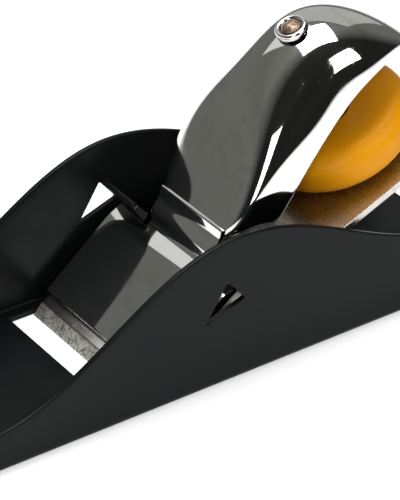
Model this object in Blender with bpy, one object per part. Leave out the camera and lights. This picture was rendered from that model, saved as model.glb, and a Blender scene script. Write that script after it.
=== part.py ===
"""Pocket trimming plane: pressed steel channel body, bevel-up blade, one-piece lever cap with a
hooded palm rest, and a thumb wheel that screws down a stud inside the hood to clamp the blade.

Frame: metres, +X from toe to heel, +Y across, +Z up, origin under the middle of the sole.
Bed frame: pairs (along, up) run up the blade from its cutting edge and away from its upper face,
so that what sits on the blade follows its angle, its place and its thickness.
"""
import math

import bmesh
import bpy
import numpy as np
from mathutils import Matrix

# ---- driving dimensions ------------------------------------------------------------------------
GAP = 0.0003                    # clearance between pieces that touch

BODY_LENGTH = 0.140
BODY_WIDTH = 0.048
SHEET = 0.0012                  # body sheet
BEND_RADIUS = 0.0016            # outside of the two long bends
INNER_BEND_RADIUS = 0.0005
CREST_HEIGHT = 0.0340           # top of the cheeks
TOE_HEIGHT = 0.0091
HEEL_HEIGHT = 0.0164
TOE_SWEEP = 0.0594              # length of the cheek curve ahead of the crest
HEEL_SWEEP = 0.0568             # and behind it

EDGE_X = -0.02225               # cutting edge, in the plane of the sole
BED_ANGLE = math.radians(23.0)
MOUTH_OPENING = 0.0058          # from the cutting edge to the mouth's toe edge
MOUTH_CLEARANCE = 0.0004        # each side of the blade
BLADE_SIDE_CLEARANCE = 0.0032   # from the blade to each cheek
BLADE_LENGTH = 0.092
BLADE_THICKNESS = 0.0015
BEVEL_ANGLE = math.radians(25.0)

TAB_LOW = (0.0187, 0.0077)      # cheek cut-out corners in the bed frame: low front,
TAB_TOP = (0.0273, 0.0136)      # top,
TAB_HEEL = (0.0292, 0.0070)     # and heel end of the fold
TAB_BLUNT = 0.0006              # half width of a tab's tip

CAP_SHEET = 0.0012
CAP_SIDE_CLEARANCE = 0.0025     # from the front plate to each cheek
CAP_TOE = 0.0058                # front edge, from the cutting edge
CAP_BEND = (0.0255, 0.0073)     # top of the front plate
CAP_LAND_LENGTH = 0.0046        # flat under the tabs
NECK_HALF_WIDTH = 0.0110
NECK_CLEARANCE = 0.0022         # from the neck to the tabs' tips
NECK_RISE = [(0.0291, 0.0074), (0.0313, 0.0097), (0.0333, 0.0107)]

# Hood stations up its spine, in the bed frame: along, up, half width, depth of the section,
# direction of that depth in degrees, squareness of the section (2 is an ellipse)
HOOD = [
    (0.0336, 0.0108, NECK_HALF_WIDTH, 0.0115, -40.0, 8.0),
    (0.0396, 0.0159, 0.0148, 0.0095, -45.0, 6.5),
    (0.0522, 0.0267, 0.0150, 0.0120, -57.0, 3.0),
    (0.0661, 0.0329, 0.0139, 0.0128, -76.0, 2.1),
    (0.0774, 0.0331, 0.0135, 0.0108, -92.0, 2.0),
    (0.0866, 0.0270, 0.0115, 0.0060, -110.0, 2.0),
    (0.0929, 0.0184, 0.0073, 0.0019, -127.0, 2.0),
    (0.0968, 0.0098, 0.0027, 0.0000, -141.0, 2.0),
]
HOOD_ROWS_PER_STATION = 4
HOOD_COLUMNS = 24

STUD_ALONG = 0.0714             # where the stud's axis meets the blade
STUD_RADIUS = 0.0030
STUD_NECK_RADIUS = 0.0020
STUD_CHAMFER = 0.0005
PEEN_HEIGHT = 0.0006
COLLAR_RADIUS = 0.0035
COLLAR_HEIGHT = 0.0012

WHEEL_LIFT = 0.0030             # travel of the wheel up the stud
WHEEL_RADIUS = 0.0174
WHEEL_THICKNESS = 0.0100
WHEEL_EDGE_RADIUS = 0.0042
WHEEL_ABOVE_BLADE = 0.0014
BUSH_WALL = 0.0017
BUSH_FLANGE_WIDTH = 0.0020
BUSH_FLANGE_THICKNESS = 0.0010
FOOT_THICKNESS = 0.0008
FOOT_STEM_LENGTH = 0.0026

BED_SHEET = 0.0020
BED_WIDTH = 0.0300
BED_START = 0.0400              # from the cutting edge, along the blade
BED_REST_LENGTH = 0.0180
BED_FOOT_LENGTH = 0.0120
RIVET_RADIUS = 0.0015
RIVET_HEAD_RADIUS = 0.0028
SOLE_HEAD = 0.0008              # depth of a rivet's flush head in the sole
RIVET_HEAD = 0.0011             # height of its head on the bracket
RIVET_SPACING = 0.0180

ROUND_STEPS = 40
FINE_ROUND_STEPS = 64
CHEEK_STEPS = 56
BEND_STEPS = 5

# ---- values that follow ------------------------------------------------------------------------
HALF_WIDTH = BODY_WIDTH / 2
INNER_HALF = HALF_WIDTH - SHEET
BLADE_HALF = INNER_HALF - BLADE_SIDE_CLEARANCE
MOUTH_HALF = BLADE_HALF + MOUTH_CLEARANCE
TAB_REACH = INNER_HALF - NECK_HALF_WIDTH - NECK_CLEARANCE
FOOT_TOP = GAP + FOOT_THICKNESS
BUSH_LOW = FOOT_TOP + GAP
BUSH_RADIUS = STUD_RADIUS + GAP + BUSH_WALL
BUSH_FLANGE_RADIUS = BUSH_RADIUS + BUSH_FLANGE_WIDTH
STUD_LOW = FOOT_TOP + FOOT_STEM_LENGTH + WHEEL_LIFT + GAP
BED_FOOT_TOP = SHEET + GAP + BED_SHEET

X, Y, Z = np.eye(3)
ALONG = math.cos(BED_ANGLE) * X + math.sin(BED_ANGLE) * Z
UP = -math.sin(BED_ANGLE) * X + math.cos(BED_ANGLE) * Z
EDGE = EDGE_X * X
BED_AXES = (ALONG, Y, UP)
SOLE_AXES = (X, Y, Z)


def on_bed(along, up):
    """Point in the middle plane, from its place along the blade and above the upper face."""
    return EDGE + along * ALONG + (BLADE_THICKNESS + up) * UP


def flat(point):
    """A point's X and Z."""
    return float(point[0]), float(point[2])


# ---- scene and mesh helpers --------------------------------------------------------------------
def clear_scene():
    for item in list(bpy.data.objects):
        bpy.data.objects.remove(item, do_unlink=True)


def material(name, colour, metallic, roughness):
    made = bpy.data.materials.new(name)
    made.use_nodes = True
    shader = made.node_tree.nodes["Principled BSDF"]
    shader.inputs["Base Color"].default_value = (*colour, 1.0)
    shader.inputs["Metallic"].default_value = metallic
    shader.inputs["Roughness"].default_value = roughness
    return made


def add_piece(name, points, faces, finish=None):
    """A mesh object with its faces turned outwards; one with no finish is a hidden cutter."""
    mesh = bpy.data.meshes.new(name)
    mesh.from_pydata([tuple(map(float, p)) for p in points], [], faces)
    work = bmesh.new()
    work.from_mesh(mesh)
    bmesh.ops.recalc_face_normals(work, faces=work.faces)
    work.to_mesh(mesh)
    work.free()
    made = bpy.data.objects.new(name, mesh)
    bpy.context.scene.collection.objects.link(made)
    if finish is None:
        made.hide_render = True
        made.display_type = 'WIRE'
    else:
        mesh.materials.append(finish)
    return made


def between(name, loops, finish=None):
    """A closed solid between two matching loops of points."""
    low, high = loops
    count = len(low)
    sides = [(i, (i + 1) % count, count + (i + 1) % count, count + i) for i in range(count)]
    caps = [tuple(range(count)), tuple(range(2 * count - 1, count - 1, -1))]
    return add_piece(name, list(low) + list(high), sides + caps, finish)


def prism(name, outline, half, finish=None):
    """The outline, given in X and Z, carried across to half on each side of the middle."""
    loops = [[(x, y, z) for x, z in outline] for y in (-half, half)]
    return between(name, loops, finish)


def turned(name, profile, base, axes, finish=None, steps=ROUND_STEPS):
    """The profile, in radius and height, turned about the third axis through base.

    A profile that starts on the axis ends on it too; any other closes into a tube."""
    ahead, across, upward = axes
    turns = 2 * math.pi * np.arange(steps) / steps
    points, rings = [], []
    for radius, height in profile:
        around = turns if radius > 0 else turns[:1]
        rings.append([len(points) + i for i in range(len(around))])
        for turn in around:
            out = radius * (math.cos(turn) * ahead + math.sin(turn) * across)
            points.append(base + height * upward + out)
    following = rings[1:] if profile[0][0] == 0 else rings[1:] + rings[:1]
    faces = []
    for lower, upper in zip(rings, following):
        for i in range(steps):
            j = (i + 1) % steps
            corners = (lower[i % len(lower)], lower[j % len(lower)],
                       upper[j % len(upper)], upper[i % len(upper)])
            faces.append(tuple(dict.fromkeys(corners)))
    return add_piece(name, points, faces, finish)


def drill(piece, name, radius, low, high, base, axes):
    """Cuts a round hole along the third axis, from low to high."""
    profile = [(0.0, low), (radius, low), (radius, high), (0.0, high)]
    combine(piece, turned(name, profile, base, axes, steps=24), 'DIFFERENCE')


def combine(piece, other, operation):
    """Joins, cuts or intersects the piece with a hidden one."""
    step = piece.modifiers.new(other.name, 'BOOLEAN')
    step.operation = operation
    step.solver = 'EXACT'
    step.object = other


def arc(centre, radius, start, end, steps):
    """Points on an arc from start to end, in degrees."""
    turns = np.radians(np.linspace(start, end, steps + 1))
    return [(centre[0] + radius * math.cos(t), centre[1] + radius * math.sin(t)) for t in turns]


def thicken(line, thickness):
    """A closed outline: the line, then the same line moved to its right by the thickness."""
    points = np.array(line)
    step = np.diff(points, axis=0)
    step /= np.linalg.norm(step, axis=1)[:, None]
    right = np.stack([step[:, 1], -step[:, 0]], axis=1)
    corner = np.vstack([right[:1], right[:-1] + right[1:], right[-1:]])
    reach = np.einsum('ij,ij->i', corner, np.vstack([right[:1], right]))
    moved = points + thickness * corner / reach[:, None]
    return [tuple(p) for p in points] + [tuple(p) for p in moved[::-1]]


# ---- body --------------------------------------------------------------------------------------
def cheek_height(x):
    """Cosine hump: full height at the middle, falling to the toe and heel heights."""
    low = TOE_HEIGHT if x < 0 else HEEL_HEIGHT
    sweep = TOE_SWEEP if x < 0 else HEEL_SWEEP
    share = min(abs(x) / sweep, 1.0)
    return low + (CREST_HEIGHT - low) * 0.5 * (1 + math.cos(math.pi * share))


def channel_section():
    """The U of the folded sheet in Y and Z, taller than the crest."""
    top = CREST_HEIGHT + 2 * SHEET
    outer = HALF_WIDTH - BEND_RADIUS
    inner = INNER_HALF - INNER_BEND_RADIUS
    floor = SHEET + INNER_BEND_RADIUS
    left_out = arc((-outer, BEND_RADIUS), BEND_RADIUS, 180, 270, BEND_STEPS)
    right_out = arc((outer, BEND_RADIUS), BEND_RADIUS, 270, 360, BEND_STEPS)
    right_in = arc((inner, floor), INNER_BEND_RADIUS, 0, -90, BEND_STEPS)
    left_in = arc((-inner, floor), INNER_BEND_RADIUS, -90, -180, BEND_STEPS)
    outside = [(-HALF_WIDTH, top)] + left_out + right_out + [(HALF_WIDTH, top)]
    inside = [(INNER_HALF, top)] + right_in + left_in + [(-INNER_HALF, top)]
    return outside + inside


def side_outline():
    """The body seen from the side: flat sole and humped cheeks."""
    half = BODY_LENGTH / 2
    below = -2 * SHEET
    tops = [(x, cheek_height(x)) for x in np.linspace(half, -half, CHEEK_STEPS + 1)]
    return [(-half, below), (half, below)] + tops


def tab_corners():
    """A tab's corners as flattened: fold top, fold heel end, and tip, with the two directions
    down the fold and from it towards the heel, all in the bed frame."""
    low, top, heel = (np.array(corner) for corner in (TAB_LOW, TAB_TOP, TAB_HEEL))
    down = (heel - top) / np.linalg.norm(heel - top)
    back = np.array([-down[1], down[0]])
    tip = top + down * np.dot(low - top, down)
    return top, heel, tip, down, back


def tab(name, side):
    """One folded tab: a blunt triangle standing in from the cheek, its root inside the sheet."""
    top, heel, tip, down, back = tab_corners()
    root = INNER_HALF + SHEET / 2
    inner = INNER_HALF - TAB_REACH
    corners = [(top, root), (heel, root), (heel, INNER_HALF), (tip + TAB_BLUNT * down, inner),
               (tip - TAB_BLUNT * down, inner), (top, INNER_HALF)]
    loops = []
    for thickness in (0.0, SHEET):
        places = [(on_bed(*(place + thickness * back)), y) for place, y in corners]
        loops.append([place + side * y * Y for place, y in places])
    return between(name, loops)


def mouth_heel_x():
    """Heel edge of the mouth: its upper corner lies just under the blade."""
    return EDGE_X + (SHEET + GAP / math.cos(BED_ANGLE)) / math.tan(BED_ANGLE)


def make_body(finish):
    reach = BODY_LENGTH / 2 + SHEET
    loops = [[(x, y, z) for y, z in channel_section()] for x in (-reach, reach)]
    body = between("body", loops, finish)
    combine(body, prism("body_side", side_outline(), BODY_WIDTH), 'INTERSECT')
    toe_x = EDGE_X - MOUTH_OPENING
    heel_x = mouth_heel_x()
    mouth = [(toe_x, -SHEET), (heel_x, -SHEET), (heel_x, 2 * SHEET), (toe_x, 2 * SHEET)]
    combine(body, prism("mouth", mouth, MOUTH_HALF), 'DIFFERENCE')
    cut_out = [flat(on_bed(*corner)) for corner in (TAB_LOW, TAB_TOP, TAB_HEEL)]
    combine(body, prism("cheek_cut_outs", cut_out, BODY_WIDTH), 'DIFFERENCE')
    combine(body, tab("tab_right", -1), 'UNION')
    combine(body, tab("tab_left", 1), 'UNION')
    for side, place in rivet_places().items():
        drill(body, f"sole_hole_{side}", RIVET_RADIUS + GAP, -SHEET, 2 * SHEET, place, SOLE_AXES)
        drill(body, f"sole_sink_{side}", RIVET_HEAD_RADIUS + GAP, -SHEET, SOLE_HEAD, place, SOLE_AXES)


# ---- bed bracket and its rivets ----------------------------------------------------------------
def bed_line():
    """Upper line of the bracket: the rest under the blade, the leg, and the foot on the sole."""
    under = -BLADE_THICKNESS - GAP
    front = flat(on_bed(BED_START, under))
    back = flat(on_bed(BED_START + BED_REST_LENGTH, under))
    leg_x = back[0] + BED_SHEET
    return [front, back, (leg_x, BED_FOOT_TOP), (leg_x + BED_FOOT_LENGTH, BED_FOOT_TOP)]


def rivet_places():
    """Points in the plane of the sole under the middle of the bracket's foot."""
    line = bed_line()
    middle = (line[2][0] + line[3][0]) / 2
    return {side: middle * X + sign * RIVET_SPACING / 2 * Y
            for side, sign in (("right", -1), ("left", 1))}


def make_blade_bed(finish):
    bed = prism("blade_bed", thicken(bed_line(), BED_SHEET), BED_WIDTH / 2, finish)
    for side, place in rivet_places().items():
        drill(bed, f"bed_hole_{side}", RIVET_RADIUS + GAP, 0.0, 2 * BED_FOOT_TOP, place, SOLE_AXES)


def make_bed_rivets(finish):
    """Two rivets, flush in the sole, that hold the bracket's foot."""
    low = BED_FOOT_TOP + GAP
    profile = [(0.0, GAP), (RIVET_HEAD_RADIUS, GAP), (RIVET_HEAD_RADIUS, SOLE_HEAD - GAP),
               (RIVET_RADIUS, SOLE_HEAD - GAP), (RIVET_RADIUS, low), (RIVET_HEAD_RADIUS, low),
               (RIVET_HEAD_RADIUS * 0.8, low + RIVET_HEAD * 0.7), (0.0, low + RIVET_HEAD)]
    for side, place in rivet_places().items():
        turned(f"bed_rivet_{side}", profile, place, SOLE_AXES, finish, 24)


# ---- blade -------------------------------------------------------------------------------------
def make_blade(finish):
    """Flat blade, bevel up: the edge is at the lower face."""
    bevel = BLADE_THICKNESS / math.tan(BEVEL_ANGLE)
    face = [(0.0, -BLADE_THICKNESS), (BLADE_LENGTH, -BLADE_THICKNESS), (BLADE_LENGTH, 0.0), (bevel, 0.0)]
    prism("blade", [flat(on_bed(*corner)) for corner in face], BLADE_HALF, finish)


# ---- lever cap ---------------------------------------------------------------------------------
def smooth_rows(stations, per_station):
    """Catmull-Rom rows through the stations."""
    keys = np.array(stations, dtype=float)
    padded = np.vstack([2 * keys[0] - keys[1], keys, 2 * keys[-1] - keys[-2]])
    where = np.linspace(0, len(keys) - 1, (len(keys) - 1) * per_station + 1)
    start = np.minimum(where.astype(int), len(keys) - 2)
    f = (where - start)[:, None]
    a, b, c, d = (padded[start + i] for i in range(4))
    return 0.5 * (2 * b + (c - a) * f + (2 * a - 5 * b + 4 * c - d) * f ** 2
                  + (3 * b - a - 3 * c + d) * f ** 3)


def hood_surface(rows, inset):
    """Arched sections on the rows: superellipses of half width w and depth d, set in by the inset."""
    along, up, width, depth, lean, square = (rows[:, i:i + 1] for i in range(6))
    sweep = np.linspace(-math.pi / 2, math.pi / 2, HOOD_COLUMNS + 1)[None, :]
    power = 2 / np.maximum(square, 2.0)
    across = (width - inset) * np.sign(sweep) * np.abs(np.sin(sweep)) ** power
    drop = inset + np.maximum(depth - inset, 0) * (1 - np.abs(np.cos(sweep)) ** power)
    lean = np.radians(lean)
    along = (along + drop * np.cos(lean))[..., None]
    up = (up + drop * np.sin(lean) + BLADE_THICKNESS)[..., None]
    return EDGE + along * ALONG + up * UP + across[..., None] * Y


def hood_shell(name):
    """The hood as a closed shell of the cap's sheet."""
    rows = smooth_rows(HOOD, HOOD_ROWS_PER_STATION)
    outer = hood_surface(rows, 0.0)
    inner = hood_surface(rows, CAP_SHEET)
    count, width = outer.shape[:2]
    grid = np.arange(count * width).reshape(count, width)
    faces = []
    for i in range(count - 1):
        for j in range(width - 1):
            corners = (grid[i, j], grid[i, j + 1], grid[i + 1, j + 1], grid[i + 1, j])
            faces.append(corners)
            faces.append(tuple(grid.size + corner for corner in corners[::-1]))
    rim = list(grid[0]) + list(grid[1:, -1]) + list(grid[-1, -2::-1]) + list(grid[-2:0:-1, 0])
    for a, b in zip(rim, rim[1:] + rim[:1]):
        faces.append((a, b, grid.size + b, grid.size + a))
    faces = [tuple(int(corner) for corner in face) for face in faces]
    return add_piece(name, np.concatenate([outer.reshape(-1, 3), inner.reshape(-1, 3)]), faces)


def make_lever_cap(finish):
    """Front plate and land, neck and hood, joined into one sheet, with the stud's hole."""
    land = (CAP_BEND[0] + CAP_LAND_LENGTH, CAP_BEND[1])
    plate_line = [flat(on_bed(*p)) for p in ((CAP_TOE, GAP + CAP_SHEET), CAP_BEND, land)]
    plate_half = INNER_HALF - CAP_SIDE_CLEARANCE
    cap = prism("lever_cap", thicken(plate_line, CAP_SHEET), plate_half, finish)
    rooted = CAP_SHEET / 3
    wall_along, wall_up = HOOD[0][:2]
    start = (NECK_RISE[0][0] - 2 * CAP_SHEET, CAP_BEND[1] - rooted / 2)
    inside = (wall_along + rooted, wall_up - rooted / 4)
    ending = (HOOD[0][0] + CAP_SHEET, HOOD[0][1] + CAP_SHEET)
    neck_line = [flat(on_bed(*p)) for p in [start] + NECK_RISE + [inside, ending]]
    combine(cap, prism("neck", thicken(neck_line, 0.9 * CAP_SHEET), NECK_HALF_WIDTH), 'UNION')
    combine(cap, hood_shell("hood"), 'UNION')
    top = stud_top()
    drill(cap, "stud_hole", STUD_NECK_RADIUS + GAP, top - 3 * CAP_SHEET, top + 3 * CAP_SHEET,
          stud_base(), BED_AXES)


# ---- stud, wheel and foot ----------------------------------------------------------------------
def stud_top():
    """Height of the hood's outer face above the blade, on the stud's axis."""
    rows = smooth_rows(HOOD, 40)
    return float(np.interp(STUD_ALONG, rows[:, 0], rows[:, 1]))


def stud_base():
    """Where the stud's axis meets the blade's upper face."""
    return on_bed(STUD_ALONG, 0.0)


def make_clamp_stud(finish):
    """Threaded stud whose thin end passes through the hood and is peened over the collar."""
    top = stud_top()
    shoulder = top - CAP_SHEET - 3 * GAP
    peen = top + GAP + COLLAR_HEIGHT
    profile = [(0.0, STUD_LOW), (STUD_RADIUS - STUD_CHAMFER, STUD_LOW),
               (STUD_RADIUS, STUD_LOW + STUD_CHAMFER), (STUD_RADIUS, shoulder),
               (STUD_NECK_RADIUS, shoulder), (STUD_NECK_RADIUS, peen),
               (STUD_NECK_RADIUS * 0.7, peen + PEEN_HEIGHT * 0.7), (0.0, peen + PEEN_HEIGHT)]
    turned("clamp_stud", profile, stud_base(), BED_AXES, finish, 28)


def make_stud_collar(finish):
    """Rolled collar round the stud's end, on the hood."""
    low = stud_top() + GAP
    inner = STUD_NECK_RADIUS + GAP
    middle = (inner + COLLAR_RADIUS) / 2
    half = (COLLAR_RADIUS - inner) / 2
    crown = arc((middle, low + COLLAR_HEIGHT - half), half, 0, 180, 6)
    turned("stud_collar", [(inner, low), (COLLAR_RADIUS, low)] + crown, stud_base(), BED_AXES, finish, 28)


def make_clamp_wheel(finish):
    """Well rounded thumb wheel with a bore for its bush and a recess under it."""
    low = WHEEL_ABOVE_BLADE
    high = low + WHEEL_THICKNESS
    bore = BUSH_RADIUS + GAP
    recess = BUSH_FLANGE_RADIUS + GAP
    seat = BUSH_LOW + BUSH_FLANGE_THICKNESS + GAP
    edge = WHEEL_EDGE_RADIUS
    rim = WHEEL_RADIUS - edge
    profile = [(bore, seat), (recess, seat), (recess, low)]
    profile += arc((rim, low + edge), edge, -90, 0, 7)
    profile += arc((rim, high - edge), edge, 0, 90, 7)
    profile += [(bore, high)]
    return turned("clamp_wheel", profile, stud_base(), BED_AXES, finish, FINE_ROUND_STEPS)


def make_wheel_bush(finish):
    """Threaded bush in the wheel, with a flange that bears on the foot."""
    flange = BUSH_LOW + BUSH_FLANGE_THICKNESS
    high = WHEEL_ABOVE_BLADE + WHEEL_THICKNESS
    bore = STUD_RADIUS + GAP
    profile = [(bore, BUSH_LOW), (BUSH_FLANGE_RADIUS, BUSH_LOW), (BUSH_FLANGE_RADIUS, flange),
               (BUSH_RADIUS, flange), (BUSH_RADIUS, high), (bore, high)]
    return turned("wheel_bush", profile, stud_base(), BED_AXES, finish)


def make_pressure_foot(finish):
    """Disc that bears on the blade, with a short stem in the bush."""
    disc = BUSH_FLANGE_RADIUS - GAP
    stem = STUD_RADIUS - 2 * GAP
    profile = [(0.0, GAP), (disc, GAP), (disc, FOOT_TOP), (stem, FOOT_TOP),
               (stem, FOOT_TOP + FOOT_STEM_LENGTH), (0.0, FOOT_TOP + FOOT_STEM_LENGTH)]
    return turned("pressure_foot", profile, stud_base(), BED_AXES, finish)


# ---- assembly ----------------------------------------------------------------------------------
def place_origin(piece, point):
    """Moves the piece's origin to the point and leaves its shape where it is."""
    piece.data.transform(Matrix.Translation(-point))
    piece.location = point


def build():
    clear_scene()
    paint = material("black_paint", (0.021, 0.025, 0.026), 0.0, 0.38)
    plated = material("plated_steel", (0.45, 0.45, 0.44), 1.0, 0.35)
    steel = material("ground_steel", (0.56, 0.55, 0.53), 1.0, 0.30)
    chrome = material("polished_chrome", (0.62, 0.62, 0.61), 1.0, 0.06)
    stud_steel = material("stud_steel", (0.40, 0.33, 0.27), 1.0, 0.45)
    yellow = material("yellow_plastic", (0.80, 0.36, 0.008), 0.0, 0.35)
    brass = material("brass", (0.72, 0.52, 0.24), 1.0, 0.30)
    make_body(paint)
    make_blade_bed(plated)
    make_bed_rivets(plated)
    make_blade(steel)
    make_lever_cap(chrome)
    make_clamp_stud(stud_steel)
    make_stud_collar(chrome)
    for piece in (make_clamp_wheel(yellow), make_wheel_bush(brass), make_pressure_foot(plated)):
        place_origin(piece, stud_base())


build()
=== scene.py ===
"""Looks of the pocket trimming plane: fine surfaces and finishes that ride on its CAD bodies.

World frame: metres, +X from toe to heel, +Y across, +Z up, origin under the middle of the sole.
Bed frame: (along, up) runs up the blade from its cutting edge and away from its upper face.
"""
import math

import bmesh
import bpy
import numpy as np
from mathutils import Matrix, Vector


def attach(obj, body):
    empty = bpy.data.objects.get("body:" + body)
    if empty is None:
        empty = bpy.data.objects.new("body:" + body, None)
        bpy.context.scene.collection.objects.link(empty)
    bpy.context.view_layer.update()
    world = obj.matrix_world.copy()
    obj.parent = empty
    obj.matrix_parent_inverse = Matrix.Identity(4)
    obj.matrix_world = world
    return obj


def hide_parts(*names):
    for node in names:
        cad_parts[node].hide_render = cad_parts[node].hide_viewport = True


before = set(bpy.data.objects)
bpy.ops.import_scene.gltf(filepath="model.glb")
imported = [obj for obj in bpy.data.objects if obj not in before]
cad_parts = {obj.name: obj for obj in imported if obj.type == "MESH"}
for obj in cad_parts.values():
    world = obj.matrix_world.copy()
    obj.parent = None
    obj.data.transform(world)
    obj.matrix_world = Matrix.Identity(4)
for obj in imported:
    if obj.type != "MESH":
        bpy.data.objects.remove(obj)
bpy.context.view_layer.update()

# ---- sizes, in metres --------------------------------------------------------------------------
HALF_LENGTH = 0.070
HALF_WIDTH = 0.024
SHEET = 0.0012
BEND_RADIUS = 0.00165
CREST_HEIGHT, TOE_HEIGHT, HEEL_HEIGHT = 0.0340, 0.0091, 0.0164
TOE_SWEEP, HEEL_SWEEP = 0.0594, 0.0568
INNER_HALF = HALF_WIDTH - SHEET

BED_ANGLE = math.radians(23.0)
BLADE_THICKNESS = 0.0015
BLADE_LENGTH = 0.092
BLADE_HALF = 0.0196
BEVEL_ANGLE = math.radians(25.0)
MOUTH = (-0.02805, -0.01866)
MOUTH_HALF = 0.0200

TAB_LOW, TAB_TOP, TAB_HEEL = (0.0187, 0.0077), (0.0273, 0.0136), (0.0292, 0.0070)
TAB_REACH = 0.0096

CAP_SHEET = 0.0012
CAP_HALF = 0.0203
NECK_HALF = 0.0110
PLATE = [(0.0058, 0.0015), (0.0255, 0.0073), (0.0301, 0.0073)]
NECK = [(0.0272, 0.0072), (0.0292, 0.0073), (0.0313, 0.0097), (0.0336, 0.0109), (0.0350, 0.0125)]
# hood stations: along, up, half width, depth, lean in degrees, squareness
HOOD = [
    (0.0336, 0.0108, 0.0110, 0.0115, -40.0, 8.0),
    (0.0396, 0.0159, 0.0148, 0.0095, -45.0, 6.5),
    (0.0522, 0.0267, 0.0150, 0.0120, -57.0, 3.0),
    (0.0661, 0.0329, 0.0139, 0.0128, -76.0, 2.1),
    (0.0774, 0.0331, 0.0135, 0.0108, -92.0, 2.0),
    (0.0866, 0.0270, 0.0115, 0.0060, -110.0, 2.0),
    (0.0929, 0.0184, 0.0073, 0.0019, -127.0, 2.0),
    (0.0968, 0.0098, 0.0027, 0.0000, -141.0, 2.0),
]
STUD_ALONG = 0.0714
STUD_TOP = 0.03374              # the hood's outer face on the stud's axis, above the blade
STUD_LOW = 0.0070
STUD_RADIUS, STUD_TIP, STUD_END = 0.003, 0.0025, 0.0020
THREAD_PITCH, THREAD_DEPTH, THREAD_FADE = 0.0010, 0.00042, 0.0008
THREADED_FROM = 0.0029          # a part thinner than this radius has no thread
WHEEL_LOW, WHEEL_HIGH = 0.0014, 0.0114
WHEEL_RADIUS, WHEEL_EDGE = 0.0174, 0.0042
AXIS = 0.00001                  # the radius at which a turned end is closed

# turned outlines, as radius and height above the blade
BUSH = [
    (0.0033, 0.0014), (0.0068, 0.0014), (0.0070, 0.0016), (0.0070, 0.0022), (0.0068, 0.0024),
    (0.0050, 0.0024), (0.0050, 0.0112), (0.0048, 0.0114), (0.0035, 0.0114), (0.0033, 0.0112),
]
FOOT = [
    (AXIS, 0.0003), (0.0065, 0.0003), (0.0067, 0.0005), (0.0067, 0.0009), (0.0065, 0.0011),
    (0.0026, 0.0011), (0.0024, 0.0013), (0.0024, 0.0035), (0.0022, 0.0037), (AXIS, 0.0037),
]

# small radii of edges and corners
SHEET_EDGE = 0.00025
CUT_EDGE, CUT_CORNER = 0.0003, 0.0005
TAB_EDGE, TAB_TIP_HALF = 0.0002, 0.0006
BLADE_EDGE, BLADE_CORNER, BLADE_LAND = 0.00012, 0.00018, 0.00002
CAP_EDGE, PLATE_BEND, NECK_BEND = 0.0003, 0.0016, 0.0014
CUTTER_HALF = 0.03

MERGE_DISTANCE = 1e-7
SHARP_ANGLE = math.radians(38)
NOSE_TURN = np.linspace(0, math.pi, 9)[1:-1]
FLOOR_HALF, FLOOR_LEVEL = 6.0, -0.0001
LAMP_AIM = (0.0, 0.0, 0.02)
SKY = [(0.0, 0.16), (0.30, 0.18), (0.62, 0.16), (0.85, 0.22), (1.0, 0.35)]  # height share, grey

X, Y, Z = np.eye(3)
ALONG = math.cos(BED_ANGLE) * X + math.sin(BED_ANGLE) * Z
UP = -math.sin(BED_ANGLE) * X + math.cos(BED_ANGLE) * Z
BED = -0.02225 * X + BLADE_THICKNESS * UP
STUD = BED + STUD_ALONG * ALONG


# ---- surface helpers ---------------------------------------------------------------------------
def quads(rows, columns):
    """Faces of a grid of points, row by row, each row closed on itself."""
    i, j = np.meshgrid(np.arange(rows - 1), np.arange(columns), indexing='ij')
    k = (j + 1) % columns
    corners = [i * columns + j, i * columns + k, (i + 1) * columns + k, (i + 1) * columns + j]
    return np.stack(corners, axis=-1).reshape(-1, 4).tolist()


def solid(name, rows, capped=True):
    """An object from rows of points; capped closes it with its first and last row."""
    count, columns = rows.shape[:2]
    faces = quads(count, columns)
    if capped:
        faces += [list(range(columns)), list(range((count - 1) * columns, count * columns))]
    mesh = bpy.data.meshes.new(name)
    mesh.from_pydata(rows.reshape(-1, 3).tolist(), [], faces)
    made = bpy.data.objects.new(name, mesh)
    bpy.context.scene.collection.objects.link(made)
    tidy(mesh)
    return made


def add(name, rows, finish, body, stands_for, capped=True):
    """A solid with its finish, that rides on a body and stands for CAD nodes."""
    piece = solid(name, rows, capped)
    piece.data.materials.append(finish)
    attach(piece, body)
    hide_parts(*stands_for)
    return piece


def tidy(mesh):
    """Merges doubled points, turns the faces outwards and shades all but sharp corners smooth."""
    work = bmesh.new()
    work.from_mesh(mesh)
    bmesh.ops.remove_doubles(work, verts=work.verts, dist=MERGE_DISTANCE)
    bmesh.ops.recalc_face_normals(work, faces=work.faces)
    work.to_mesh(mesh)
    work.free()
    mesh.shade_smooth()
    mesh.set_sharp_from_angle(angle=SHARP_ANGLE)


def rounded(corners, radius, closed, steps=6):
    """The corners' path with each corner replaced by a quadratic curve that starts and ends at
    the radius from it (or at 45 hundredths of a shorter side)."""
    points = np.array(corners, dtype=float)
    path = [] if closed else [points[:1]]
    share = np.linspace(0, 1, steps + 1)[:, None]
    picks = range(len(points)) if closed else range(1, len(points) - 1)
    for k in picks:
        before, at, after = points[k - 1], points[k], points[(k + 1) % len(points)]
        back, ahead = before - at, after - at
        reach = min(radius, 0.45 * np.linalg.norm(back), 0.45 * np.linalg.norm(ahead))
        start = at + reach * back / np.linalg.norm(back)
        end = at + reach * ahead / np.linalg.norm(ahead)
        path.append((1 - share) ** 2 * start + 2 * share * (1 - share) * at + share ** 2 * end)
    if not closed:
        path.append(points[-1:])
    return np.concatenate(path)


def line_normals(line):
    """Unit tangents and left-hand normals of an open path."""
    tangent = np.gradient(line, axis=0)
    tangent /= np.linalg.norm(tangent, axis=1)[:, None]
    return tangent, np.stack([-tangent[:, 1], tangent[:, 0]], axis=1)


def blunt_nose(turn):
    """Squared half circle: side is sign(cos a) sqrt |cos a| and out is sqrt(sin a)."""
    return np.sign(np.cos(turn)) * np.sqrt(np.abs(np.cos(turn))), np.sqrt(np.sin(turn))


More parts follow.
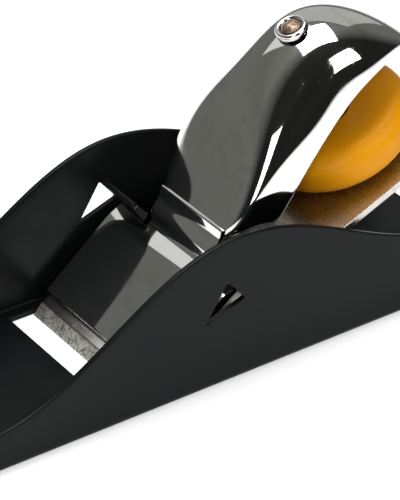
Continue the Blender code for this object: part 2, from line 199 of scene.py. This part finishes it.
def sheet_ring(line, half):
    """The outline of a sheet bent along the line: offset by half to each side, with its two ends
    closed by superellipse noses."""
    tangent, normal = line_normals(line)
    nose_side, nose_out = blunt_nose(NOSE_TURN[:, None])
    end = line[-1] + half * (nose_side * normal[-1] + nose_out * tangent[-1])
    start = line[0] - half * (nose_side * normal[0] + nose_out * tangent[0])
    return np.concatenate([line + half * normal, end, (line - half * normal)[::-1], start])


def carried(ring, half, edge, origin, first, second, across):
    """The outline carried from -half to half; within the edge radius of each end it is drawn in
    by edge (1 - cos a) while the distance grows by edge sin a."""
    ahead = np.roll(ring, -1, axis=0) - np.roll(ring, 1, axis=0)
    ahead /= np.linalg.norm(ahead, axis=1)[:, None]
    x, y = ring[:, 0], ring[:, 1]
    turning = np.sign(np.sum(x * np.roll(y, -1) - y * np.roll(x, -1)))
    outward = turning * np.stack([ahead[:, 1], -ahead[:, 0]], axis=1)
    angle = np.radians(np.linspace(90, 0, 6))
    drawn = np.concatenate([edge * (1 - np.cos(angle)), edge * (1 - np.cos(angle[::-1]))])
    reach = half - edge + edge * np.sin(angle)
    place = np.concatenate([-reach, reach[::-1]])
    flat = ring[None] - drawn[:, None, None] * outward[None]
    return origin + flat[..., :1] * first + flat[..., 1:] * second + place[:, None, None] * across


def turned(profile, base, steps, ripple=None):
    """The profile, in radius and height above the blade, turned about the stud's axis; ripple
    changes the radius from the turn and the height."""
    profile = np.array(profile)
    turn = np.linspace(0, 2 * math.pi, steps, endpoint=False)[None, :]
    radius = profile[:, :1] + 0 * turn
    height = profile[:, 1:] + 0 * turn
    if ripple:
        radius = np.maximum(radius - ripple(radius, turn, height), 0)
    radius, height, turn = radius[..., None], height[..., None], turn[..., None]
    return base + radius * (np.cos(turn) * ALONG + np.sin(turn) * Y) + height * UP


def carve(piece, cutters):
    """Cuts the closed cutters out of the piece and keeps the result as its mesh."""
    for cutter in cutters:
        step = piece.modifiers.new(cutter.name, 'BOOLEAN')
        step.operation = 'DIFFERENCE'
        step.solver = 'EXACT'
        step.object = cutter
    seen = piece.evaluated_get(bpy.context.evaluated_depsgraph_get())
    old = piece.data
    piece.data = bpy.data.meshes.new_from_object(seen)
    piece.modifiers.clear()
    piece.data.name = piece.name
    bpy.data.meshes.remove(old)
    for cutter in cutters:
        bpy.data.objects.remove(cutter, do_unlink=True)
    tidy(piece.data)


# ---- material helpers --------------------------------------------------------------------------
class Finish:
    """A material under construction, on Object coordinates."""

    def __init__(self, name):
        self.made = bpy.data.materials.new(name)
        self.made.use_nodes = True
        self.tree = self.made.node_tree
        self.shader = self.tree.nodes["Principled BSDF"]
        self.place = self.node('ShaderNodeTexCoord').outputs["Object"]

    def node(self, kind, inputs=(), **settings):
        """A node with its settings; input numbers are set and sockets are linked."""
        made = self.tree.nodes.new(kind)
        for key, value in settings.items():
            setattr(made, key, value)
        for key, value in dict(inputs).items():
            if isinstance(value, bpy.types.NodeSocket):
                self.tree.links.new(value, made.inputs[key])
            else:
                made.inputs[key].default_value = value
        return made

    def stretched(self, scale, turn=(0, 0, 0)):
        """Object coordinates, turned and then stretched."""
        sockets = {"Vector": self.place, "Scale": scale, "Rotation": turn}
        return self.node('ShaderNodeMapping', sockets, vector_type='POINT').outputs[0]

    def noise(self, scale, detail, rough=0.55, distort=0.0, place=None):
        """Cloudy noise from 0 to 1, with scale in cells per metre."""
        sockets = {"Vector": place or self.place, "Scale": scale, "Detail": detail,
                   "Roughness": rough, "Distortion": distort}
        return self.node('ShaderNodeTexNoise', sockets).outputs[0]

    def cells(self, scale):
        """Distance to the nearest grain centre, for a crystal pattern."""
        sockets = {"Vector": self.place, "Scale": scale}
        return self.node('ShaderNodeTexVoronoi', sockets).outputs["Distance"]

    def remap(self, value, low, high, start, end):
        """Carries low..high of the value onto start..end, held at both."""
        sockets = {"Value": value, "From Min": low, "From Max": high,
                   "To Min": start, "To Max": end}
        return self.node('ShaderNodeMapRange', sockets).outputs[0]

    def math(self, operation, a, b):
        """One arithmetic step on two values."""
        return self.node('ShaderNodeMath', {0: a, 1: b}, operation=operation).outputs[0]

    def mix(self, share, a, b):
        """Colours a and b, mixed by the share of b."""
        a = (*a, 1.0) if isinstance(a, tuple) else a
        b = (*b, 1.0) if isinstance(b, tuple) else b
        return self.node('ShaderNodeMix', {0: share, 6: a, 7: b}, data_type='RGBA').outputs[2]

    def bump(self, height, depth, under=None):
        """A normal raised by the height times the depth in metres, over another normal if given."""
        sockets = {"Height": height, "Distance": depth, "Strength": 1.0}
        if under:
            sockets["Normal"] = under
        return self.node('ShaderNodeBump', sockets).outputs[0]

    def done(self, **sockets):
        """Sets or links the shader's sockets, named with underscores for spaces."""
        for key, value in sockets.items():
            socket = self.shader.inputs[key.replace("_", " ")]
            if isinstance(value, bpy.types.NodeSocket):
                self.tree.links.new(value, socket)
            else:
                socket.default_value = (*value, 1.0) if isinstance(value, tuple) else value
        return self.made


def enamel():
    """Satin black stove enamel: fine orange peel, dusty speckle and faint handling scuffs."""
    f = Finish("black_enamel")
    clouds = f.noise(70, 5)
    speck = f.remap(f.noise(2600, 2), 0.70, 0.78, 0, 1)
    streaks = f.noise(900, 3, 0.7, 0.4, f.stretched((0.05, 1, 0.8), (0, 0.3, 0.2)))
    scuff = f.remap(streaks, 0.64, 0.74, 0, 1)
    worn = f.math('MULTIPLY', scuff, f.remap(clouds, 0.5, 0.72, 0, 0.6))
    colour = f.mix(clouds, (0.0024, 0.0033, 0.0036), (0.0042, 0.0053, 0.0057))
    colour = f.mix(f.math('MULTIPLY', speck, 0.35), colour, (0.026, 0.027, 0.025))
    colour = f.mix(worn, colour, (0.012, 0.013, 0.012))
    rough = f.math('ADD', f.remap(clouds, 0.3, 0.7, 0.30, 0.44), f.math('MULTIPLY', worn, 0.2))
    peel = f.bump(f.noise(1500, 2), 0.000010)
    return f.done(Base_Color=colour, Roughness=rough, Normal=peel, Specular_IOR_Level=0.11)


def chrome():
    """Mirror chrome: soft waviness of pressed sheet, fingertip smudges and hairline scratches."""
    f = Finish("polished_chrome")
    smudge = f.remap(f.noise(140, 5, 0.6, 1.2), 0.52, 0.72, 0, 1)
    lines = f.noise(1500, 2, 0.5, 0.0, f.stretched((1, 0.02, 0.6), (0, 0.5, 0.3)))
    hair = f.remap(lines, 0.69, 0.73, 0, 1)
    colour = f.mix(smudge, (0.70, 0.70, 0.69), (0.60, 0.60, 0.57))
    rough = f.math('ADD', f.remap(smudge, 0, 1, 0.045, 0.12), f.math('MULTIPLY', hair, 0.10))
    wave = f.bump(f.noise(45, 1), 0.00006)
    scratched = f.bump(hair, 0.000002, wave)
    return f.done(Base_Color=colour, Metallic=1.0, Roughness=rough, Normal=scratched)


def ground_steel():
    """Ground tool steel with soft mottling and light brown stains; the bevel, the first 3 mm along
    the blade, is duller and pitted."""
    f = Finish("ground_steel")
    lines = f.noise(2500, 2, 0.5, 0.0, f.stretched((1, 0.03, 1)))
    mottle = f.noise(420, 6, 0.65)
    stain = f.remap(f.noise(120, 6, 0.7, 0.6), 0.54, 0.76, 0, 0.5)
    colour = f.mix(mottle, (0.42, 0.41, 0.38), (0.60, 0.59, 0.56))
    colour = f.mix(stain, colour, (0.30, 0.21, 0.13))
    dot = f.node('ShaderNodeVectorMath', {0: f.place, 1: tuple(ALONG)}, operation='DOT_PRODUCT')
    along = dot.outputs["Value"]
    start = float(np.dot(BED, ALONG))
    pits = f.remap(f.noise(1100, 7, 0.75, 0.8), 0.36, 0.54, 0, 1)
    bevel = f.remap(along, start + 0.0028, start + 0.0032, 1, 0)
    pitted = f.mix(pits, (0.16, 0.13, 0.10), (1.0, 0.97, 0.90))
    colour = f.mix(f.math('MULTIPLY', bevel, 0.85), colour, pitted)
    rough = f.math('ADD', f.remap(lines, 0.3, 0.7, 0.25, 0.29), f.math('MULTIPLY', stain, 0.22))
    rough = f.math('ADD', rough, f.math('MULTIPLY', bevel, 0.25))
    grain = f.bump(mottle, 0.0000004)
    return f.done(Base_Color=colour, Metallic=1.0, Roughness=rough, Normal=grain)


def zinc():
    """Dull zinc plate with a faint crystal pattern."""
    f = Finish("zinc_plate")
    grain = f.cells(900)
    clouds = f.noise(150, 5)
    colour = f.mix(f.remap(grain, 0, 0.6, 0, 1), (0.50, 0.50, 0.48), (0.36, 0.37, 0.36))
    colour = f.mix(f.remap(clouds, 0.5, 0.8, 0, 0.6), colour, (0.28, 0.27, 0.23))
    rough = f.remap(clouds, 0.3, 0.7, 0.30, 0.50)
    return f.done(Base_Color=colour, Metallic=1.0, Roughness=rough, Normal=f.bump(grain, 0.000012))


def tarnished():
    """Steel with a brown tarnish that thins to bare metal in patches."""
    f = Finish("tarnished_steel")
    patch = f.remap(f.noise(900, 6, 0.7), 0.42, 0.60, 0, 1)
    fine = f.noise(4000, 3)
    colour = f.mix(patch, (0.16, 0.085, 0.045), (0.46, 0.38, 0.31))
    rough = f.remap(patch, 0, 1, 0.60, 0.34)
    return f.done(Base_Color=colour, Metallic=1.0, Roughness=rough, Normal=f.bump(fine, 0.00002))


def amber_plastic():
    """Moulded amber plastic: slight flow clouding, fine grain, scuffs and darker handled dirt."""
    f = Finish("amber_plastic")
    flow = f.noise(90, 4, 0.6, 1.5)
    grime = f.remap(f.noise(260, 6, 0.7), 0.60, 0.80, 0, 0.25)
    streaks = f.noise(1500, 3, 0.7, 0.3, f.stretched((0.12, 1, 1), (0, 0, 0.6)))
    scuff = f.remap(streaks, 0.70, 0.78, 0, 0.3)
    colour = f.mix(flow, (0.68, 0.250, 0.0008), (0.76, 0.32, 0.0016))
    colour = f.mix(grime, colour, (0.40, 0.13, 0.004))
    colour = f.mix(scuff, colour, (0.90, 0.60, 0.16))
    rough = f.remap(flow, 0.3, 0.7, 0.32, 0.46)
    grain = f.bump(f.noise(2600, 2), 0.000012)
    return f.done(Base_Color=colour, Roughness=rough, Normal=grain, Specular_IOR_Level=0.14)


def brass():
    """Turned brass: tool rings about the stud's axis and a soft brown film."""
    f = Finish("turned_brass")
    film = f.remap(f.noise(500, 5), 0.45, 0.70, 0, 0.7)
    rings = f.noise(5000, 2, 0.5, 0.0, f.stretched((0.1, 0.1, 1)))
    colour = f.mix(film, (0.76, 0.56, 0.26), (0.42, 0.27, 0.11))
    rough = f.remap(film, 0, 0.7, 0.22, 0.45)
    return f.done(Base_Color=colour, Metallic=1.0, Roughness=rough, Normal=f.bump(rings, 0.00001))


# ---- body --------------------------------------------------------------------------------------
def cheek_height(x):
    """Cosine hump: full height at the middle, falling to the toe and heel heights."""
    low = np.where(x < 0, TOE_HEIGHT, HEEL_HEIGHT)
    share = np.minimum(np.abs(x) / np.where(x < 0, TOE_SWEEP, HEEL_SWEEP), 1)
    return low + (CREST_HEIGHT - low) * 0.5 * (1 + np.cos(math.pi * share))


def channel_rows():
    """The folded sheet's section carried along X. Its middle line runs down one cheek, round the
    bend, across the sole and up the other cheek; the cheeks stretch to the height at each x, and
    the half thickness h shrinks at the toe and heel as a quarter circle."""
    half, edge, mid = SHEET / 2, SHEET_EDGE, BEND_RADIUS - SHEET / 2
    angle = np.radians(np.linspace(90, 0, 5))
    reach = HALF_LENGTH - edge + edge * np.sin(angle)
    middle = np.linspace(-HALF_LENGTH + 2 * edge, HALF_LENGTH - 2 * edge, 171)
    x = np.concatenate([-reach, middle, reach[::-1]])
    thin = np.concatenate([half - edge * (1 - np.cos(angle)), half + 0 * middle,
                           half - edge * (1 - np.cos(angle[::-1]))])
    bend = np.radians(np.linspace(0, 90, 9)[1:-1])
    cheek_y = HALF_WIDTH - half
    flat_y = HALF_WIDTH - BEND_RADIUS
    rise = np.linspace(1, 0, 13)
    sole = np.linspace(-flat_y, flat_y, 41)
    y = np.concatenate([-cheek_y + 0 * rise, -flat_y - mid * np.cos(bend), sole,
                        flat_y + mid * np.sin(bend), cheek_y + 0 * rise])
    low = np.concatenate([BEND_RADIUS + 0 * rise, BEND_RADIUS - mid * np.sin(bend), half + 0 * sole,
                          BEND_RADIUS - mid * np.cos(bend), BEND_RADIUS + 0 * rise])
    share = np.concatenate([rise, 0 * bend, 0 * sole, 0 * bend, rise[::-1]])
    out_y = np.concatenate([-1 + 0 * rise, -np.cos(bend), 0 * sole, np.sin(bend), 1 + 0 * rise])
    out_z = np.concatenate([0 * rise, -np.sin(bend), -1 + 0 * sole, -np.cos(bend), 0 * rise])
    stretch = cheek_height(x)[:, None] - half - BEND_RADIUS
    z = low[None] + share[None] * stretch
    side, nose = blunt_nose(NOSE_TURN[None])
    h = thin[:, None]
    outer = np.stack([y + h * out_y, z + h * out_z], axis=-1)
    inner = np.stack([y - h * out_y, z - h * out_z], axis=-1)[:, ::-1]
    lip_left = np.stack([cheek_y + h * side, z[:, -1:] + h * nose], axis=-1)
    lip_right = np.stack([-cheek_y + h * side, z[:, :1] + h * nose], axis=-1)
    ring = np.concatenate([outer, lip_left, inner, lip_right], axis=1)
    depth = np.broadcast_to(x[:, None, None], ring.shape[:2] + (1,))
    return np.concatenate([depth, ring], axis=-1)


def make_body(finish):
    """The channel, less the mouth slot and one triangular cut carried through both cheeks."""
    body = add("folded_body", channel_rows(), finish, "body", ["body"])
    mouth = [(MOUTH[0], -SHEET), (MOUTH[1], -SHEET), (MOUTH[1], 2 * SHEET), (MOUTH[0], 2 * SHEET)]
    hole = rounded([TAB_LOW, TAB_TOP, TAB_HEEL], CUT_CORNER, True)
    carve(body, [
        solid("mouth_cut", carried(np.array(mouth), MOUTH_HALF, CUT_EDGE, 0 * X, X, Z, Y)),
        solid("cheek_cut", carried(hole, CUTTER_HALF, CUT_EDGE, BED, ALONG, UP, Y)),
    ])
    make_tabs(finish)


def make_tabs(finish):
    """Each tab is the cut triangle folded in about its heel side: its outline lies in the plane of
    the fold line and Y, and is carried back by the sheet's thickness."""
    low, top, heel = (np.array(corner) for corner in (TAB_LOW, TAB_TOP, TAB_HEEL))
    length = np.linalg.norm(heel - top)
    down = (heel - top) / length
    tip = np.dot(low - top, down)
    down3 = down[0] * ALONG + down[1] * UP
    back3 = -down[1] * ALONG + down[0] * UP
    origin = BED + top[0] * ALONG + top[1] * UP + back3 * SHEET / 2
    inner = INNER_HALF - TAB_REACH
    root = INNER_HALF + SHEET / 2
    outline = [(0, root), (length, root), (length, INNER_HALF), (tip + TAB_TIP_HALF, inner),
               (tip - TAB_TIP_HALF, inner), (0, INNER_HALF)]
    for name, side in (("tab_right", -1), ("tab_left", 1)):
        ring = rounded([(q, side * y) for q, y in outline], CUT_CORNER, True)
        rows = carried(ring, SHEET / 2, TAB_EDGE, origin, down3, Y, back3)
        add(name, rows, finish, "body", ["body"])


# ---- blade and lever cap -----------------------------------------------------------------------
def make_blade(finish):
    """The blade's side outline, with its long bevel, carried across."""
    bevel = BLADE_THICKNESS / math.tan(BEVEL_ANGLE)
    corners = [(BLADE_LAND, -BLADE_THICKNESS), (BLADE_LENGTH, -BLADE_THICKNESS),
               (BLADE_LENGTH, 0), (bevel, 0)]
    ring = rounded(corners, BLADE_CORNER, True, 4)
    rows = carried(ring, BLADE_HALF, BLADE_EDGE, BED, ALONG, UP, Y)
    add("bevelled_blade", rows, finish, "blade", ["blade"])


def spline(stations, where):
    """Natural cubic spline through the stations, at the given places counted in stations."""
    keys = np.array(stations, dtype=float)
    count = len(keys)
    system = 4 * np.eye(count) + np.eye(count, k=1) + np.eye(count, k=-1)
    system[0, 0] = system[-1, -1] = 2
    padded = np.vstack([keys[:1], keys, keys[-1:]])
    slope = np.linalg.solve(system, 3 * (padded[2:] - padded[:-2]))
    at = np.clip(where.astype(int), 0, count - 2)
    f = (where - at)[:, None]
    a, b, da, db = keys[at], keys[at + 1], slope[at], slope[at + 1]
    return (a + da * f + (3 * (b - a) - 2 * da - db) * f ** 2 + (2 * (a - b) + da + db) * f ** 3)


def hood_face(rows, inset):
    """Arched sections: across = w sin^p a and drop = d (1 - cos^p a), a from -90 to 90 degrees,
    with p two over the squareness; the inset draws both in evenly."""
    along, up, width, depth, lean, square = (rows[:, i:i + 1] for i in range(6))
    sweep = np.radians(90 * np.sin(np.linspace(-math.pi / 2, math.pi / 2, 129)))[None, :]
    power = 2 / np.maximum(square, 2.0)
    across = (width - inset) * np.sign(sweep) * np.abs(np.sin(sweep)) ** power
    drop = inset + np.maximum(depth - inset, 0) * (1 - np.abs(np.cos(sweep)) ** power)
    lean = np.radians(lean)
    along = (along + drop * np.cos(lean))[..., None]
    up = (up + drop * np.sin(lean))[..., None]
    return BED + along * ALONG + up * UP + across[..., None] * Y


def hood_rows():
    """Outer face, rim nose, inner face and rim nose of every section, as one closed row each."""
    last = len(HOOD) - 1
    middle = np.linspace(0.06, last - 0.06, 150)
    where = np.concatenate([[0, 0.01, 0.03], middle, [last - 0.02, last]])
    rows = spline(HOOD, where)
    thin = np.zeros((len(rows), 1))
    thin[0], thin[1], thin[-1], thin[-2] = 0.0003, 0.0001, 0.0003, 0.0001
    outer = hood_face(rows, thin)
    inner = hood_face(rows, CAP_SHEET - thin)
    turn = NOSE_TURN[None, :, None]

    def nose(column, beside):
        """Half ellipse over the wall's edge: middle + half cos a + onward 0.8 size sin a."""
        middle = (outer[:, column] + inner[:, column])[:, None] / 2
        half = (outer[:, column] - inner[:, column])[:, None] / 2
        onward = outer[:, column] - outer[:, beside] + 1e-9 * UP
        onward /= np.linalg.norm(onward, axis=1)[:, None]
        size = np.linalg.norm(half, axis=2)[..., None]
        return middle + half * np.cos(turn) + onward[:, None] * size * np.sin(turn) * 0.8

    return np.concatenate([outer, nose(-1, -2), inner[:, ::-1], nose(0, 1)[:, ::-1]], axis=1)


def make_lever_cap(finish):
    """Plate and neck are sheets whose upper faces follow their lines, carried across; the hood is
    its rows of arched sections."""
    half = CAP_SHEET / 2
    plate = np.array(PLATE)
    plate_line = rounded(plate - half * line_normals(plate)[1], PLATE_BEND, False, 10)
    neck = rounded(np.array(NECK), NECK_BEND, False, 10)
    neck_line = neck - half * line_normals(neck)[1]
    for name, line, width in (("cap_plate", plate_line, CAP_HALF),
                              ("cap_neck", neck_line, NECK_HALF)):
        rows = carried(sheet_ring(line, half), width, CAP_EDGE, BED, ALONG, UP, Y)
        add(name, rows, finish, "lever_cap", ["lever_cap"])
    add("cap_hood", hood_rows(), finish, "lever_cap", ["lever_cap"])


# ---- stud, wheel and foot ----------------------------------------------------------------------
def arc(radius_at, height_at, radius, start, end, steps):
    """Circular arc about a centre, from start to end in degrees."""
    turn = np.radians(np.linspace(start, end, steps + 1))
    return np.stack([radius_at + radius * np.cos(turn), height_at + radius * np.sin(turn)], axis=1)


def thread(radius, turn, height):
    """Depth of a right-hand thread: a triangle wave of height over pitch less the turn's share,
    faded in above the low end and left off the thin parts."""
    phase = np.mod(height / THREAD_PITCH - turn / (2 * math.pi), 1.0)
    wave = np.abs(2 * phase - 1)
    inside = (radius > THREADED_FROM) * np.clip((height - STUD_LOW) / THREAD_FADE, 0, 1)
    return THREAD_DEPTH * wave * inside


def make_stud(finish):
    """Threaded stud with a domed, peened end."""
    shoulder = STUD_TOP - CAP_SHEET - 0.0009
    heights = np.linspace(STUD_LOW + 0.0005, shoulder, 240)
    shank = np.stack([STUD_RADIUS + 0 * heights, heights], axis=1)
    peen = STUD_TOP + 0.0015
    dome = arc(0, peen - 0.0004, STUD_END, 24, 88, 12)
    dome[:, 1] = peen - 0.0001 + (dome[:, 1] - dome[0, 1]) * 0.5
    profile = np.concatenate([[(AXIS, STUD_LOW), (STUD_TIP, STUD_LOW)], shank,
                              [(STUD_END, shoulder), (STUD_END, peen - 0.0002)], dome,
                              [(AXIS, dome[-1, 1])]])
    rows = turned(profile, STUD, 96, thread)
    add("threaded_stud", rows, finish, "lever_cap", ["clamp_stud"])


def make_collar(finish):
    """Rolled collar round the stud's end: a flattened half torus on a short wall."""
    low = STUD_TOP + 0.0003
    crown = arc(0.0029, low + 0.0006, 0.0006, 0, 180, 16)
    profile = np.concatenate([[(0.0023, low), (0.0035, low)], crown])
    closed_turn("rolled_collar", profile, finish, "lever_cap", "stud_collar", 96)


def closed_turn(name, profile, finish, body, node, steps=160):
    """A ring-shaped piece: the closed profile turned all the way round."""
    rows = turned(profile, STUD, steps).transpose(1, 0, 2)
    add(name, np.concatenate([rows, rows[:1]]), finish, body, [node], capped=False)


def make_wheel(amber, bronze, plate):
    """The wheel's outline, with quarter circles at its rim, and those of bush and foot, all turned
    about the stud."""
    low, high, edge = WHEEL_LOW, WHEEL_HIGH, WHEEL_EDGE
    rim = WHEEL_RADIUS - edge
    face = [(0.0053, 0.0027), (0.0073, 0.0027), (0.0073, low + 0.0003), (0.0076, low)]
    dish = [(0.0094, high), (0.0090, high - 0.0002), (0.0060, high - 0.0002),
            (0.0053, high - 0.0004)]
    profile = np.concatenate([face, arc(rim, low + edge, edge, -90, 0, 24),
                              arc(rim, high - edge, edge, 0, 90, 24), dish])
    closed_turn("thumb_wheel", profile, amber, "clamp_wheel", "clamp_wheel")
    closed_turn("threaded_bush", BUSH, bronze, "clamp_wheel", "wheel_bush", 96)
    add("foot_disc", turned(FOOT, STUD, 96), plate, "pressure_foot",
        ["pressure_foot"])


# ---- studio ------------------------------------------------------------------------------------
def floor():
    """Plain pale floor under the sole."""
    mesh = bpy.data.meshes.new("studio_floor")
    size, level = FLOOR_HALF, FLOOR_LEVEL
    mesh.from_pydata([(-size, -size, level), (size, -size, level), (size, size, level),
                      (-size, size, level)], [], [(0, 1, 2, 3)])
    made = bpy.data.objects.new("studio_floor", mesh)
    bpy.context.scene.collection.objects.link(made)
    f = Finish("floor_paper")
    shade = f.mix(f.noise(3, 2), (0.90, 0.90, 0.90), (0.92, 0.92, 0.92))
    mesh.materials.append(f.done(Base_Color=shade, Roughness=0.9, Specular_IOR_Level=0.1,
                                 Emission_Color=(1.0, 1.0, 1.0), Emission_Strength=0.40))


def light(name, place, size, power, shape='SQUARE', size_y=0.1):
    """An area lamp aimed at the plane."""
    lamp = bpy.data.lights.new(name, 'AREA')
    lamp.shape = shape
    lamp.size = size
    if shape == 'RECTANGLE':
        lamp.size_y = size_y
    lamp.energy = power
    made = bpy.data.objects.new(name, lamp)
    bpy.context.scene.collection.objects.link(made)
    made.location = place
    made.rotation_euler = (Vector(LAMP_AIM) - Vector(place)).to_track_quat('-Z', 'Y').to_euler()


def studio():
    """Floor, surroundings, lamps and camera. Reflections see a grey that changes with height and
    the camera sees white in its place; both grow dimmer towards the near side."""
    floor()
    scene = bpy.context.scene
    scene.view_settings.view_transform = 'Standard'
    world = bpy.data.worlds.new("studio")
    scene.world = world
    world.use_nodes = True
    tree = world.node_tree
    back = tree.nodes["Background"]
    place = tree.nodes.new('ShaderNodeTexCoord').outputs["Generated"]
    split = tree.nodes.new('ShaderNodeSeparateXYZ')
    tree.links.new(place, split.inputs[0])
    ramp = tree.nodes.new('ShaderNodeValToRGB')
    tree.links.new(split.outputs[2], ramp.inputs[0])
    ramp.color_ramp.elements[0].position = SKY[0][0]
    ramp.color_ramp.elements[1].position = SKY[-1][0]
    for position, _ in SKY[1:-1]:
        ramp.color_ramp.elements.new(position)
    for element, (position, grey) in zip(ramp.color_ramp.elements, SKY):
        element.color = (grey, grey, 0.92 * grey, 1)
    near = tree.nodes.new('ShaderNodeMapRange')
    tree.links.new(split.outputs[1], near.inputs["Value"])
    for key, value in (("From Min", -0.15), ("From Max", 0.25), ("To Min", 0.10), ("To Max", 1.0)):
        near.inputs[key].default_value = value
    tree.links.new(near.outputs[0], back.inputs[1])
    seen = tree.nodes.new('ShaderNodeLightPath').outputs["Is Camera Ray"]
    choose = tree.nodes.new('ShaderNodeMix')
    choose.data_type = 'RGBA'
    tree.links.new(seen, choose.inputs[0])
    tree.links.new(ramp.outputs[0], choose.inputs[6])
    choose.inputs[7].default_value = (1, 1, 1, 1)
    tree.links.new(choose.outputs[2], back.inputs[0])
    light("overhead", (0.05, 0.25, 1.15), 0.80, 14.0)
    light("near_strip", (-0.66, -0.70, 0.50), 0.34, 3.6, shape='RECTANGLE', size_y=0.8)
    light("heel_side", (0.24, -0.72, 0.74), 0.50, 3.6)
    light("far_side", (-0.06, 0.85, 0.92), 0.60, 0.75)
    light("behind", (0.75, 0.90, 0.64), 1.00, 1.1)
    lens = bpy.data.cameras.new("camera")
    lens.lens = 202.8
    lens.clip_start = 0.01
    camera = bpy.data.objects.new("camera", lens)
    scene.collection.objects.link(camera)
    camera.location = (-0.2747, -0.4051, 0.3290)
    camera.rotation_euler = (math.radians(57.6), 0, math.radians(-34.8))
    scene.camera = camera


def build():
    """Finishes, pieces and studio; the bracket and rivets keep their CAD meshes."""
    paint, mirror, steel = enamel(), chrome(), ground_steel()
    plate, stud, amber, bronze = zinc(), tarnished(), amber_plastic(), brass()
    for name in ("blade_bed", "bed_rivet_right", "bed_rivet_left"):
        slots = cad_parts[name].data.materials
        slots.clear()
        slots.append(plate)
    make_body(paint)
    make_blade(steel)
    make_lever_cap(mirror)
    make_stud(stud)
    make_collar(mirror)
    make_wheel(amber, bronze, plate)
    studio()


build()
